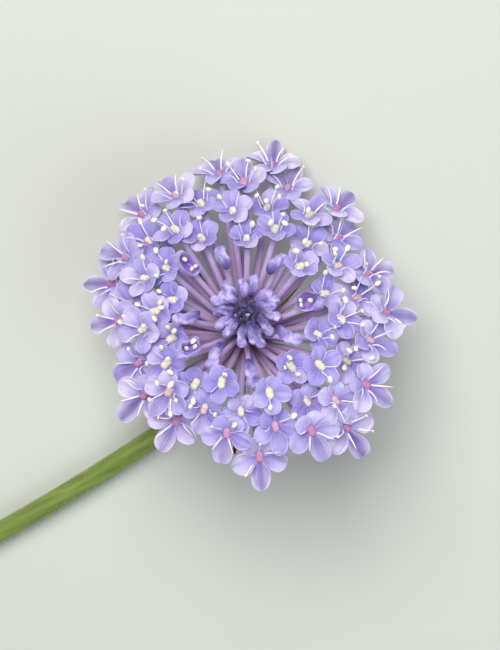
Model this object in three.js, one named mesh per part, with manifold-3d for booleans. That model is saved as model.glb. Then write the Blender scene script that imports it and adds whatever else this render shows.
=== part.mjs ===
// Blue lace flower, cut and lying on a surface: a domed umbel of 91 florets on one stem.
// Units are millimetres, +Z is up and z = 0 is the surface that the flower lies on.
// The head is modelled in a frame of its own: the rays meet at its origin and +Z is the head's axis.

import * as THREE from "three";
import { mergeVertices } from "three/addons/utils/BufferGeometryUtils.js";
import Module from "manifold-3d";

const wasm = await Module();
wasm.setup();

const DEG = Math.PI / 180;
const MERGE_DISTANCE = 1e-3;

// Where the head stands: the point where its rays meet, and how far its axis leans from upright
const HUB = new THREE.Vector3(-28.61, -16.52, 12.76);
const HEAD_LEAN = 36 * DEG;

// The spiral that florets grow on, from the oldest at the rim to the youngest in the heart
const GOLDEN_ANGLE = 137.50776 * DEG;
const FIRST_ANGLE = 168 * DEG;
const SEED = 7;
const FLORETS = 91;
const FIRST_BUD = 58;
const FIRST_KNOT_BUD = 67;
const FIRST_HEART_BUD = 83;
const HEIGHT_LEVELS = 5;

// The dome: how far out and how high the florets stand, and how far their faces lean outwards
const HEAD_RADIUS = 22.6;
const RIM_RADIUS = 22;
const SPREAD_EASE = 0.6;
const SPREAD_CURVE = 0.4;
const DOME_HEIGHT = 15;
const DOME_DROP = 6.5;
const HEIGHT_STEP = 0.7;
const OVAL = 0.08;
const OVAL_DIRECTION = 106 * DEG;
const DOME_SHIFT = new THREE.Vector2(0.7, 2.1);
const OPENING_SHIFT = new THREE.Vector2(-1.6, -1.8);
const RIM_TILT = 34 * DEG;
const TILT_PER_RADIUS = 30 * DEG;
const FACE_ROLL = -10 * DEG;
const ANGLE_SWAY = 0.04;
const TILT_SWAY = 0.05;

// Rays, ovaries and the receptacle that they grow from
const RAY_RADIUS = 0.5;
const RAY_ROOT_RADIUS = 0.32;
const RAY_ROOT = 2.4;
const OVARY_RADIUS = 0.85;
const OVARY_LENGTH = 1.9;
const OVARY_TOP = 0.7;
const RECEPTACLE_PROFILE = [[0, -0.9], [2.6, -0.9], [3.3, 0], [3.1, 1.2], [2.2, 2.1], [0, 2.1]];
const BUD_KNOB_PROFILE = [[0, 2.4], [1.2, 2.4], [1.45, 3.0], [1.0, 3.7], [0, 3.9]];

// Buds: loose ones among the florets, a knot with its tips to the middle, and its small upright heart
const BUD_RAY_ROOT = new THREE.Vector3(0, 0, 3);
const BUD_RAY_RADIUS = 0.4;
const BUD_RAY_PER_BUD = 0.45;
const BUD_RAY_TAPER = 0.8;
const BUD_SEAT = 0.15;
const LOOSE_BUD = { length: 3.9, radius: 1.1, lean: 68 * DEG };
const KNOT_BUD = { length: 3.9, radius: 1.1, lean: 57 * DEG };
const HEART_BUD = { length: 2.8, radius: 0.75, lean: 12 * DEG };
const LOOSE_BUD_SHIFT = 1.6;
const KNOT_RADIUS = 5.4;
const KNOT_CLOSING = 0.07;
const KNOT_HEIGHT = 11;
const KNOT_HEIGHT_SWAY = 0.5;
const HEART_RADIUS = 2.4;
const HEART_CLOSING = 0.25;
const HEART_HEIGHT = 9.2;
const HEART_RISE = 0.1;
const BUD_PROFILE = [[0, 0.55], [0.28, 1], [0.62, 0.8]];

// Petals and stamens
const PETALS = 5;
const SECTOR = (2 * Math.PI) / PETALS;
const PETAL_THICKNESS = 0.6;
const PETAL_LENGTH = 2.25;
const RIM_PETAL_GAIN = 1.6;
const OUTWARD_PETAL_GAIN = 0.26;
const PETAL_WIDTH = 1.85;
const WIDTH_PER_LENGTH = 0.29;
const PETAL_BELLY = [0.6, 0.5];
const PETAL_END = [0.93, 0.25];
const FIRST_YOUNG = 20;
const YOUNG_PETAL_BELLY = [0.7, 0.5];
const PETAL_CUP = 0.12;
const CUP_SWAY = 0.1;
const POINT_CUP = 0.8;
const PETAL_SWAY = 0.06;
const PETAL_GAP = 0.05;
const NOTCH_RADIUS = 0.95;
const NOTCH_RISE = 0.1;
const DISC_RADIUS = 0.77;
const DISC_HEIGHT = 0.6;
const DISC_FOOT = 0.05;
const FILAMENT_WIDTH = 0.5;
const FILAMENT_LENGTH = 3.8;
const FILAMENT_CLIMB = 72 * DEG;
const FILAMENT_LEAN = 20 * DEG;
const FILAMENT_SWAY = 0.12;

// Stem and bracts
const STEM_RADIUS = 1.75;
const STEM_SIDES = 12;
const STEM_TOP = 2.5;
const STEM_TOP_RADIUS = 2.6;
const STEM_TOUCHDOWN = new THREE.Vector2(11.6, 18.6);
const STEM_HEADING = 36 * DEG;
const STEM_END = new THREE.Vector2(82, 60);
const STEM_END_HEADING = 27 * DEG;
const STEM_STEP = 4.5;
const STEM_FLARE_LENGTH = 5;
const STEM_BEND_HANDLE = 8.5;
const STEM_RUN_HANDLE = 28;
const BRACTS = 10;
const BRACT_LENGTH = 16;
const BRACT_WIDTH = 1.5;
const BRACT_THICKNESS = 0.7;
const BRACT_ROOT = 1.8;
const BRACT_ANGLE_SWAY = 0.2;
const BRACT_LENGTH_SWAY = 0.12;
const BRACT_HEIGHT = -1.7;
const BRACT_RISE = 2.6;
const BRACT_PROFILE = [[0, 1], [0.3, 0.95], [0.7, 0.7], [1, 0.3]];
const COLLAR_PROFILE = [[0, -2.2], [2.5, -2.2], [2.7, -1.7], [2.5, -1.2], [0, -1.2]];

const MATERIALS = {
  stem: new THREE.MeshStandardMaterial({ color: 0x6e8c32, roughness: 0.7, metalness: 0 }),
  bract: new THREE.MeshStandardMaterial({ color: 0x74803c, roughness: 0.7, metalness: 0 }),
  petal: new THREE.MeshStandardMaterial({ color: 0xa596e1, roughness: 0.6, metalness: 0 }),
  bud: new THREE.MeshStandardMaterial({ color: 0x7a6bb4, roughness: 0.6, metalness: 0 }),
};

// A seeded draw from 0 to 1 for floret i and purpose k
function draw(i, k) {
  const value = Math.sin(i * 12.9898 + k * 78.233 + SEED * 37.719) * 43758.5453;
  return value - Math.floor(value);
}

// The same draw from -1 to 1
function sway(i, k) {
  return 2 * draw(i, k) - 1;
}

// Where floret i sits on the dome, with the directions of its face
function placeOf(i) {
  const angle = FIRST_ANGLE + i * GOLDEN_ANGLE + ANGLE_SWAY * sway(i, 1);
  const radius = radiusOf(i);
  const share = radius / RIM_RADIUS;
  const oval = 1 + OVAL * Math.cos(2 * (angle - OVAL_DIRECTION));
  const tilt = RIM_TILT - TILT_PER_RADIUS * (1 - share) + TILT_SWAY * sway(i, 2);
  const level = (i % HEIGHT_LEVELS) - (HEIGHT_LEVELS - 1) / 2;
  const height = DOME_HEIGHT - DOME_DROP * share * share + HEIGHT_STEP * level;
  const radial = new THREE.Vector3(Math.cos(angle), Math.sin(angle), 0);
  const axis = new THREE.Vector3(0, 0, 1);
  const centre = radial.clone().multiplyScalar(radius * oval).addScaledVector(axis, height);
  const opening = i < FIRST_KNOT_BUD ? 1 - share : 0;
  centre.x += DOME_SHIFT.x * share + OPENING_SHIFT.x * opening;
  centre.y += DOME_SHIFT.y * share + OPENING_SHIFT.y * opening;
  const normal = mixed(axis, Math.cos(tilt), radial, Math.sin(tilt));
  const outward = mixed(radial, Math.cos(tilt), axis, -Math.sin(tilt));
  normal.applyAxisAngle(outward, FACE_ROLL);
  const side = normal.clone().cross(outward);
  return { index: i, share, centre, normal, outward, side, radial };
}

// How far from the head's axis floret i stands
function radiusOf(i) {
  if (i >= FIRST_HEART_BUD) return HEART_RADIUS - HEART_CLOSING * (i - FIRST_HEART_BUD);
  if (i >= FIRST_KNOT_BUD) return KNOT_RADIUS - KNOT_CLOSING * (i - FIRST_KNOT_BUD);
  const youth = i / FLORETS;
  return HEAD_RADIUS * (1 - SPREAD_EASE * youth - SPREAD_CURVE * youth * youth);
}

// So much of one direction and so much of another
function mixed(a, shareOfA, b, shareOfB) {
  return a.clone().multiplyScalar(shareOfA).addScaledVector(b, shareOfB);
}

// A closed skin put together point by point and face by face
class Skin {
  points = [];
  faces = [];

  add(points) {
    const first = this.points.length;
    this.points.push(...points);
    return points.map((_, k) => first + k);
  }

  triangle(a, b, c) {
    this.faces.push(a, b, c);
  }

  quad(a, b, c, d) {
    this.faces.push(a, b, c, a, c, d);
  }

  geometry() {
    const geometry = new THREE.BufferGeometry().setFromPoints(this.points);
    geometry.setIndex(this.faces);
    return geometry;
  }
}

// A closed skin over rings of points, each ring with the same count; a ring of one point is a tip
function loft(rings) {
  const skin = new Skin();
  const ids = rings.map((ring) => skin.add(ring));
  ids.slice(1).forEach((upper, n) => {
    const lower = ids[n];
    lower.forEach((a, k) => {
      const b = lower[(k + 1) % lower.length];
      if (upper.length === 1) skin.triangle(a, b, upper[0]);
      else skin.quad(a, b, upper[(k + 1) % upper.length], upper[k]);
    });
  });
  const foot = ids[0];
  const end = ids.at(-1);
  for (let k = 1; k < foot.length - 1; k++) skin.triangle(foot[0], foot[k + 1], foot[k]);
  for (let k = 1; k < end.length - 1; k++) skin.triangle(end[0], end[k], end[k + 1]);
  return skin.geometry();
}

// A ring of points round a centre, square to a direction, flattened along one side if asked
function ringAt(centre, direction, radius, sides, aside, flatness = 1) {
  const along = direction.clone().normalize();
  const u = aside.clone().addScaledVector(along, -aside.dot(along)).normalize();
  const v = along.clone().cross(u);
  return Array.from({ length: sides }, (_, k) => {
    const turn = ((k + 0.5) * 2 * Math.PI) / sides;
    return centre.clone()
      .addScaledVector(u, radius * Math.cos(turn))
      .addScaledVector(v, radius * flatness * Math.sin(turn));
  });
}

// A solid turned round the head's axis
function turned(profile, sides) {
  const points = profile.map(([radius, height]) => new THREE.Vector2(radius, height));
  return new THREE.LatheGeometry(points, sides).rotateX(Math.PI / 2);
}

// One closed skin as a solid that can be joined to others
function asSolid(geometry) {
  const bare = new THREE.BufferGeometry();
  bare.setAttribute("position", geometry.getAttribute("position"));
  bare.setIndex(geometry.index);
  const merged = mergeVertices(bare, MERGE_DISTANCE);
  const mesh = new wasm.Mesh({
    numProp: 3,
    vertProperties: new Float32Array(merged.attributes.position.array),
    triVerts: new Uint32Array(merged.index.array),
  });
  return new wasm.Manifold(mesh);
}

// Everything that grows together, as one body: sealed hollows are filled and loose scraps dropped
function grownTogether(geometries) {
  let solids = geometries.map(asSolid);
  while (solids.length > 1) {
    const pairs = [];
    for (let k = 0; k < solids.length; k += 2) {
      pairs.push(k + 1 < solids.length ? solids[k].add(solids[k + 1]) : solids[k]);
    }
    solids = pairs;
  }
  const joined = asGeometry(largestBody(solids[0]));
  const geometry = asGeometry(largestBody(asSolid(joined)));
  geometry.computeVertexNormals();
  return geometry;
}

function largestBody(solid) {
  return solid.decompose().reduce((a, b) => (b.volume() > a.volume() ? b : a));
}

function asGeometry(solid) {
  const { vertProperties, triVerts } = solid.getMesh();
  const geometry = new THREE.BufferGeometry();
  geometry.setAttribute("position", new THREE.BufferAttribute(vertProperties, 3));
  geometry.setIndex(new THREE.BufferAttribute(triVerts, 1));
  return geometry;
}

// One petal's direction from the floret's outward side, with its length and width
function petalOf(place, k) {
  const { index, share } = place;
  const petal = (k + PETALS) % PETALS;
  const angle = k * SECTOR + PETAL_SWAY * sway(index, 10 + petal);
  const outwardGain = 1 + OUTWARD_PETAL_GAIN * share * Math.cos(angle);
  const fullLength = (PETAL_LENGTH + RIM_PETAL_GAIN * share * share) * outwardGain;
  const length = fullLength * (1 + PETAL_SWAY * sway(index, 20 + petal));
  return { angle, length, width: PETAL_WIDTH + WIDTH_PER_LENGTH * length };
}

// A point of a floret's face: its direction from the outward side, distance and height above it
function facePoint(place, angle, distance, rise) {
  const { centre, normal, outward, side } = place;
  return centre.clone()
    .addScaledVector(outward, distance * Math.cos(angle))
    .addScaledVector(side, distance * Math.sin(angle))
    .addScaledVector(normal, rise);
}

// The edge of petal k, from one notch to the next. Old florets have round petals, of which the
// outward one alone comes to a point, and the smaller petals of young florets all do
function petalEdge(place, k) {
  const { angle, length, width } = petalOf(place, k);
  const before = (petalOf(place, k - 1).angle + angle) / 2;
  const after = (petalOf(place, k + 1).angle + angle) / 2;
  const cup = PETAL_CUP * length + CUP_SWAY * sway(place.index, 30 + k);
  const onEdge = ([along, across]) => {
    const [x, y] = [along * length, across * width];
    return { turn: Math.atan2(y, x), reach: Math.hypot(y, x) };
  };
  const young = place.index >= FIRST_YOUNG;
  const belly = onEdge(young ? YOUNG_PETAL_BELLY : PETAL_BELLY);
  const end = onEdge(PETAL_END);
  const notchTurn = (0.5 * FILAMENT_WIDTH) / NOTCH_RADIUS;
  const point = young || k === 0 ? [facePoint(place, angle, length, POINT_CUP * cup)] : [];
  const round = (turn) => (young ? [] : [facePoint(place, turn, end.reach, cup)]);
  return [
    facePoint(place, before + notchTurn, NOTCH_RADIUS, NOTCH_RISE),
    facePoint(place, Math.max(angle - belly.turn, before + PETAL_GAP), belly.reach, cup),
    ...round(angle - end.turn),
    ...point,
    ...round(angle + end.turn),
    facePoint(place, Math.min(angle + belly.turn, after - PETAL_GAP), belly.reach, cup),
    facePoint(place, after - notchTurn, NOTCH_RADIUS, NOTCH_RISE),
  ];
}

// The pointed tip of the filament that stands between petals k and k + 1
function filamentTip(place, k) {
  const between = (petalOf(place, k).angle + petalOf(place, k + 1).angle) / 2;
  const climb = FILAMENT_CLIMB - FILAMENT_LEAN * place.share * (1 + Math.cos(between));
  const reach = FILAMENT_LENGTH * (1 + FILAMENT_SWAY * sway(place.index, 60 + k));
  return facePoint(place, between, reach * Math.cos(climb), reach * Math.sin(climb));
}

// One open floret as one skin: its ray, ovary, five petals, five filaments and disc
function openFloret(place) {
  const { centre, normal } = place;
  const ring = (radius, rise) =>
    Array.from({ length: PETALS }, (_, k) => facePoint(place, petalOf(place, k).angle, radius, rise));
  const ovaryFoot = centre.clone().addScaledVector(normal, -OVARY_LENGTH);
  const rootShift = ovaryFoot.clone().setLength(RAY_ROOT).sub(ovaryFoot);
  const rayRoot = ring(RAY_ROOT_RADIUS, -OVARY_LENGTH).map((p) => p.add(rootShift));
  const rayEnd = ring(RAY_RADIUS, -OVARY_LENGTH);
  const ovary = ring(OVARY_RADIUS, -OVARY_TOP);
  const disc = ring(DISC_RADIUS, DISC_FOOT);
  const discTop = facePoint(place, 0, 0, DISC_HEIGHT);
  const drop = normal.clone().multiplyScalar(-PETAL_THICKNESS);
  const skin = new Skin();
  const [root, end, under, over] = [rayRoot, rayEnd, ovary, disc].map((p) => skin.add(p));
  const [top] = skin.add([discTop]);
  const sectors = Array.from({ length: PETALS }, (_, k) => {
    const edge = petalEdge(place, k);
    const upper = skin.add(edge);
    const lower = skin.add(edge.map((p) => p.clone().add(drop)));
    const [tip] = skin.add([filamentTip(place, k)]);
    return { upper, lower, tip };
  });

  sectors.forEach(({ upper, lower, tip }, k) => {
    const next = (k + 1) % PETALS;
    const following = sectors[next];
    skin.quad(root[k], root[next], end[next], end[k]);
    skin.quad(end[k], end[next], under[next], under[k]);
    skin.triangle(over[k], over[next], top);
    for (let n = 0; n < upper.length - 1; n++) {
      skin.triangle(over[k], upper[n], upper[n + 1]);
      skin.triangle(under[k], lower[n + 1], lower[n]);
      skin.quad(upper[n], lower[n], lower[n + 1], upper[n + 1]);
    }
    skin.triangle(over[k], upper.at(-1), tip);
    skin.triangle(over[k], tip, over[next]);
    skin.triangle(over[next], tip, following.upper[0]);
    skin.triangle(under[k], tip, lower.at(-1));
    skin.triangle(under[k], under[next], tip);
    skin.triangle(under[next], following.lower[0], tip);
    skin.triangle(upper.at(-1), lower.at(-1), tip);
    skin.triangle(tip, following.lower[0], following.upper[0]);
  });
  for (let k = 1; k < PETALS - 1; k++) skin.triangle(root[0], root[k + 1], root[k]);
  return skin.geometry();
}

// A bud, fat at its foot and drawn to a point, on its ray
function bud(foot, axis, { length, radius }, aside) {
  const at = (share) => foot.clone().addScaledVector(axis, share * length);
  const ray = foot.clone().sub(BUD_RAY_ROOT).normalize();
  const rayStart = BUD_RAY_ROOT.clone().addScaledVector(ray, BUD_RAY_RADIUS);
  const rayRadius = Math.min(BUD_RAY_RADIUS, BUD_RAY_PER_BUD * radius);
  const stalk = loft([
    ringAt(rayStart, ray, BUD_RAY_TAPER * rayRadius, 4, aside),
    ringAt(at(BUD_SEAT), ray, rayRadius, 4, aside),
  ]);
  const body = loft([
    ...BUD_PROFILE.map(([share, fullness]) => ringAt(at(share), axis, fullness * radius, 5, aside)),
    [at(1)],
  ]);
  return [stalk, body];
}

// The 58 open florets on their receptacle
function openFlorets() {
  const pieces = [turned(RECEPTACLE_PROFILE, 12)];
  for (let i = 0; i < FIRST_BUD; i++) pieces.push(openFloret(placeOf(i)));
  return grownTogether(pieces);
}

// The younger florets: buds that open among the others, the knot of buds and its heart
function buds() {
  const pieces = [turned(BUD_KNOB_PROFILE, 8)];
  for (let i = FIRST_BUD; i < FLORETS; i++) {
    const { centre, radial } = placeOf(i);
    const foot = centre.clone();
    let shape = LOOSE_BUD;
    if (i >= FIRST_HEART_BUD) {
      shape = HEART_BUD;
      foot.z = HEART_HEIGHT + HEART_RISE * (i - FIRST_HEART_BUD);
    } else if (i >= FIRST_KNOT_BUD) {
      shape = KNOT_BUD;
      foot.z = KNOT_HEIGHT + KNOT_HEIGHT_SWAY * sway(i, 3);
    } else {
      foot.addScaledVector(radial, LOOSE_BUD_SHIFT);
    }
    const axis = new THREE.Vector3(0, 0, Math.cos(shape.lean))
      .addScaledVector(radial, -Math.sin(shape.lean));
    const aside = new THREE.Vector3(-radial.y, radial.x, 0);
    pieces.push(...bud(foot, axis, shape, aside));
  }
  return grownTogether(pieces);
}

// The ring of narrow bracts under the head, that arch up round it
function bracts() {
  const pieces = [turned(COLLAR_PROFILE, 12)];
  const flatness = BRACT_THICKNESS / BRACT_WIDTH;
  for (let k = 0; k < BRACTS; k++) {
    const angle = (k + 0.5 + BRACT_ANGLE_SWAY * sway(k, 70)) * (2 * Math.PI / BRACTS);
    const radial = new THREE.Vector3(Math.cos(angle), Math.sin(angle), 0);
    const aside = new THREE.Vector3(-radial.y, radial.x, 0);
    const length = BRACT_LENGTH * (1 + BRACT_LENGTH_SWAY * sway(k, 71));
    const rings = BRACT_PROFILE.map(([t, share]) => {
      const centre = radial.clone().multiplyScalar(BRACT_ROOT + t * length);
      centre.z = BRACT_HEIGHT + BRACT_RISE * t * t;
      const direction = radial.clone().setZ((2 * BRACT_RISE * t) / length);
      return ringAt(centre, direction, Math.SQRT1_2 * BRACT_WIDTH * share, 4, aside, flatness / share);
    });
    pieces.push(loft(rings));
  }
  return grownTogether(pieces);
}

// The stem's middle line: down and back from the head, then along the surface to the cut end
function stemLine() {
  const back = new THREE.Vector3(0, Math.sin(HEAD_LEAN), -Math.cos(HEAD_LEAN));
  const top = HUB.clone().addScaledVector(back, STEM_TOP);
  const touchdown = new THREE.Vector3(HUB.x + STEM_TOUCHDOWN.x, HUB.y + STEM_TOUCHDOWN.y, STEM_RADIUS);
  const heading = new THREE.Vector3(Math.cos(STEM_HEADING), Math.sin(STEM_HEADING), 0);
  const end = new THREE.Vector3(HUB.x + STEM_END.x, HUB.y + STEM_END.y, STEM_RADIUS);
  const endHeading = new THREE.Vector3(Math.cos(STEM_END_HEADING), Math.sin(STEM_END_HEADING), 0);
  const line = new THREE.CurvePath();
  line.add(new THREE.CubicBezierCurve3(
    top,
    top.clone().addScaledVector(back, STEM_BEND_HANDLE),
    touchdown.clone().addScaledVector(heading, -STEM_BEND_HANDLE),
    touchdown,
  ));
  line.add(new THREE.CubicBezierCurve3(
    touchdown,
    touchdown.clone().addScaledVector(heading, STEM_RUN_HANDLE),
    end.clone().addScaledVector(endHeading, -STEM_RUN_HANDLE),
    end,
  ));
  return line;
}

// The stem: round, widened where it carries the head, with a flat facet along its underside
function stem() {
  const line = stemLine();
  const steps = Math.round(line.getLength() / STEM_STEP);
  const rings = [];
  for (let k = 0; k <= steps; k++) {
    const centre = line.getPointAt(k / steps);
    const direction = line.getTangentAt(k / steps);
    const fromTop = (k / steps) * line.getLength();
    const flare = Math.max(0, 1 - fromTop / STEM_FLARE_LENGTH) ** 2;
    const radius = STEM_RADIUS + (STEM_TOP_RADIUS - STEM_RADIUS) * flare;
    const aside = direction.clone().cross(new THREE.Vector3(0, 0, 1));
    rings.push(ringAt(centre, direction, radius / Math.cos(Math.PI / STEM_SIDES), STEM_SIDES, aside));
  }
  return loft(rings);
}

function named(name, geometry, material) {
  const mesh = new THREE.Mesh(geometry, material);
  mesh.name = name;
  return mesh;
}

const head = new THREE.Group();
head.position.copy(HUB);
head.rotation.set(HEAD_LEAN, 0, Math.PI);
head.add(
  named("bracts", bracts(), MATERIALS.bract),
  named("open_florets", openFlorets(), MATERIALS.petal),
  named("buds", buds(), MATERIALS.bud),
);

const flower = new THREE.Group();
flower.add(named("stem", stem(), MATERIALS.stem), head);

export default flower;
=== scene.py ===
# %% [markdown]
# # Blue lace flower
#
# A blue lace flower carries its florets in an umbel: dozens of thin rays leave one point at the
# top of the stem, and each ray ends in a small floret. The oldest florets stand open at the rim
# and the youngest are still buds in the middle. This one is cut and lies on a pale surface.
#
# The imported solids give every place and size. The lesson keeps them as the frame and puts finer
# pieces where they are: thin petals, stamens, folded buds, rays, bracts and a hairy stem. Sizes
# are in millimetres, as a botanist would measure them, and MM turns them into metres.

import math

import bmesh
import bpy
from mathutils import Matrix, Vector
from mathutils.geometry import interpolate_bezier


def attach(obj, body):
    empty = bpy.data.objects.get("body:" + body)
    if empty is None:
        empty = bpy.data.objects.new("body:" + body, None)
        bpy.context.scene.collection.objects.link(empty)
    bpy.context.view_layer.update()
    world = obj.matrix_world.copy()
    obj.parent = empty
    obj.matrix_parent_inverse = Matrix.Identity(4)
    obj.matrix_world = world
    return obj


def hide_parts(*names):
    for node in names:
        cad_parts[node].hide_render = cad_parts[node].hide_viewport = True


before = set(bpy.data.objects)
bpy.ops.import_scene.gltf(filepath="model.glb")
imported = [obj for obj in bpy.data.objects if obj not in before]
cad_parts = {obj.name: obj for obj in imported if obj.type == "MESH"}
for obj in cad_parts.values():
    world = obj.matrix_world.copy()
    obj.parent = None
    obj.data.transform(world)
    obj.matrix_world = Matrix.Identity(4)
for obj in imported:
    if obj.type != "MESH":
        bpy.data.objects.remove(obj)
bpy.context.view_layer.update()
MM = 0.001
print("solids:", sorted(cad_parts))

# %% [markdown]
# ## The camera
#
# The camera looks steeply down on the bloom from the side that it leans to. One pixel of the
# picture shows 0.155 mm at the point where the rays meet, so the lens follows from the distance.
# The camera is aimed at the middle of the picture, a little beside that meeting point.

# %% Set the camera
HUB = Vector((-28.61, -16.52, 12.76))
PICTURE_PX = Vector((500, 650))
HUB_PX = Vector((245, 337))
MM_PER_PX = 0.155
VIEW_DISTANCE = 350
VIEW_ELEVATION = math.radians(72)
SENSOR = 36

to_camera = Vector((0, -math.cos(VIEW_ELEVATION), math.sin(VIEW_ELEVATION)))
picture_right = Vector((-1, 0, 0))
picture_up = to_camera.cross(picture_right)
off_centre = (PICTURE_PX / 2 - HUB_PX) * MM_PER_PX
eye = HUB + to_camera * VIEW_DISTANCE + picture_right * off_centre.x - picture_up * off_centre.y
view_turning = Matrix((picture_right, picture_up, to_camera)).transposed().to_4x4()

bpy.ops.object.camera_add()
camera = bpy.context.object
camera.matrix_world = Matrix.Translation(eye * MM) @ view_turning
camera.data.sensor_width = SENSOR
camera.data.lens = SENSOR * VIEW_DISTANCE / (PICTURE_PX.y * MM_PER_PX)
bpy.context.scene.camera = camera
print("lens in mm:", round(camera.data.lens, 1))

# %% [markdown]
# ## Surface and light
#
# The flower lies on a plain pale table top. Petals look soft under a bright overcast sky, so one
# broad lamp above the top of the picture does most of the work, a weaker one fills from the
# lower right, and a pale world lifts the shadows. Small or hard lamps would draw black lines
# between the florets.

# %% Make the table top and the lamps
TABLE_SIDE = 3
TABLE_COLOUR = (198, 201, 193)
TABLE_ROUGHNESS = 0.8
SKY_COLOUR = (236, 240, 247)
SKY_STRENGTH = 0.28
# Each lamp has a name, a place and a side in metres, a power in watts and a tint.
LAMPS = [
    ("key", (0.08, -0.43, 0.58), 0.42, 6.1, (1.0, 0.98, 0.95)),
    ("fill", (-0.45, 0.25, 0.45), 0.6, 2.0, (0.9, 0.95, 1.0)),
]


def paint(*swatch):
    """A colour as it is picked from a swatch, turned into the linear light that shaders use."""
    return (*(((level / 255 + 0.055) / 1.055) ** 2.4 for level in swatch), 1)


bpy.ops.mesh.primitive_plane_add(size=TABLE_SIDE)
table = bpy.context.object
table.name = "table_top"
table_finish = bpy.data.materials.new("pale_table_top")
table_finish.use_nodes = True
table_inputs = table_finish.node_tree.nodes["Principled BSDF"].inputs
table_inputs["Base Color"].default_value = paint(*TABLE_COLOUR)
table_inputs["Roughness"].default_value = TABLE_ROUGHNESS
table.data.materials.append(table_finish)

bloom_centre = HUB * MM
for name, place, side, power, tint in LAMPS:
    bpy.ops.object.light_add(type="AREA", location=place)
    lamp = bpy.context.object
    lamp.name = name
    lamp.rotation_euler = (bloom_centre - Vector(place)).to_track_quat("-Z", "Y").to_euler()
    lamp.data.size = side
    lamp.data.energy = power
    lamp.data.color = tint

sky = bpy.data.worlds.new("overcast")
sky.use_nodes = True
sky.node_tree.nodes["Background"].inputs["Color"].default_value = paint(*SKY_COLOUR)
sky.node_tree.nodes["Background"].inputs["Strength"].default_value = SKY_STRENGTH
bpy.context.scene.world = sky
bpy.context.scene.view_settings.view_transform = "Standard"
print("lamps:", [lamp[0] for lamp in LAMPS])

# %% [markdown]
# ## Where the florets stand
#
# Florets grow on a spiral, each one a golden angle of about 137.5 degrees further on than the
# one before. The oldest stand furthest out on a low dome and lean outwards. The solids were
# placed by this same rule, with the same seeded draws, so a petal made here lies where its thick
# stand-in lies. The head has a frame of its own, with the rays' meeting point as its origin and
# its axis as +Z, and one matrix takes it to its place on the table.

# %% The spiral that places every floret
HEAD_LEAN = math.radians(36)
GOLDEN_ANGLE = math.radians(137.50776)
FIRST_ANGLE = math.radians(168)
SEED = 7
FLORETS = 91
FIRST_BUD = 58
FIRST_KNOT_BUD = 67
FIRST_HEART_BUD = 83
HEIGHT_LEVELS = 5
HEAD_RADIUS = 22.6
RIM_RADIUS = 22
SPREAD_EASE = 0.6
SPREAD_CURVE = 0.4
DOME_HEIGHT = 15
DOME_DROP = 6.5
HEIGHT_STEP = 0.7
OVAL = 0.08
OVAL_DIRECTION = math.radians(106)
DOME_SHIFT = Vector((0.7, 2.1, 0))
OPENING_SHIFT = Vector((-1.6, -1.8, 0))
RIM_TILT = math.radians(34)
TILT_PER_RADIUS = math.radians(30)
FACE_ROLL = math.radians(-6)
ANGLE_SWAY = 0.04
TILT_SWAY = 0.05
KNOT_RADIUS = 5.4
KNOT_CLOSING = 0.07
HEART_RADIUS = 2.4
HEART_CLOSING = 0.25
FULL_TURN = 2 * math.pi
UP = Vector((0, 0, 1))

in_metres = Matrix.Scale(MM, 4)
head_turning = Matrix.Rotation(HEAD_LEAN, 4, "X") @ Matrix.Rotation(math.pi, 4, "Z")
head_place = in_metres @ Matrix.Translation(HUB) @ head_turning


def draw(number, purpose):
    """A seeded draw from 0 to 1 for one floret and one purpose."""
    value = math.sin(number * 12.9898 + purpose * 78.233 + SEED * 37.719) * 43758.5453
    return value - math.floor(value)


def sway(number, purpose):
    """The same draw from -1 to 1."""
    return 2 * draw(number, purpose) - 1


def draw_within(limits, number, purpose):
    """The same draw between two limits."""
    return limits[0] + (limits[1] - limits[0]) * draw(number, purpose)


def reach_of(number):
    """How far from the head's axis a floret or bud stands."""
    if number >= FIRST_HEART_BUD:
        return HEART_RADIUS - HEART_CLOSING * (number - FIRST_HEART_BUD)
    if number >= FIRST_KNOT_BUD:
        return KNOT_RADIUS - KNOT_CLOSING * (number - FIRST_KNOT_BUD)
    youth = number / FLORETS
    return HEAD_RADIUS * (1 - SPREAD_EASE * youth - SPREAD_CURVE * youth * youth)


class Floret:
    """The place of one floret or bud in the head, and the directions of its face."""

    def __init__(self, number):
        angle = FIRST_ANGLE + number * GOLDEN_ANGLE + ANGLE_SWAY * sway(number, 1)
        reach = reach_of(number)
        self.number = number
        self.share = reach / RIM_RADIUS
        self.youth = min(number / FIRST_BUD, 1)
        oval = 1 + OVAL * math.cos(2 * (angle - OVAL_DIRECTION))
        tilt = RIM_TILT - TILT_PER_RADIUS * (1 - self.share) + TILT_SWAY * sway(number, 2)
        level = number % HEIGHT_LEVELS - (HEIGHT_LEVELS - 1) / 2
        height = DOME_HEIGHT - DOME_DROP * self.share**2 + HEIGHT_STEP * level
        self.radial = Vector((math.cos(angle), math.sin(angle), 0))
        self.centre = self.radial * reach * oval + UP * height + DOME_SHIFT * self.share
        if number < FIRST_KNOT_BUD:
            self.centre += OPENING_SHIFT * (1 - self.share)
        self.outward = self.radial * math.cos(tilt) - UP * math.sin(tilt)
        upright = UP * math.cos(tilt) + self.radial * math.sin(tilt)
        self.normal = Matrix.Rotation(FACE_ROLL, 3, self.outward) @ upright
        self.side = self.normal.cross(self.outward)

    def along(self, angle):
        """The direction in the floret's face that lies at an angle from its outward side."""
        return self.outward * math.cos(angle) + self.side * math.sin(angle)


open_florets = [Floret(number) for number in range(FIRST_BUD)]
print("open florets:", len(open_florets), "buds:", FLORETS - FIRST_BUD)

# %% [markdown]
# ## Hands for edit mode
#
# Everything below is modelled in edit mode. A few short helpers stand for what a hand
# does there: deselect what the last step left selected, go into edit mode and out again, select
# points by their place, move them and stretch them about a point.

# %% Helpers for edit mode
NEAR = 0.02


def object_mode():
    """Leaves edit mode."""
    bpy.ops.object.mode_set(mode="OBJECT")


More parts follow.
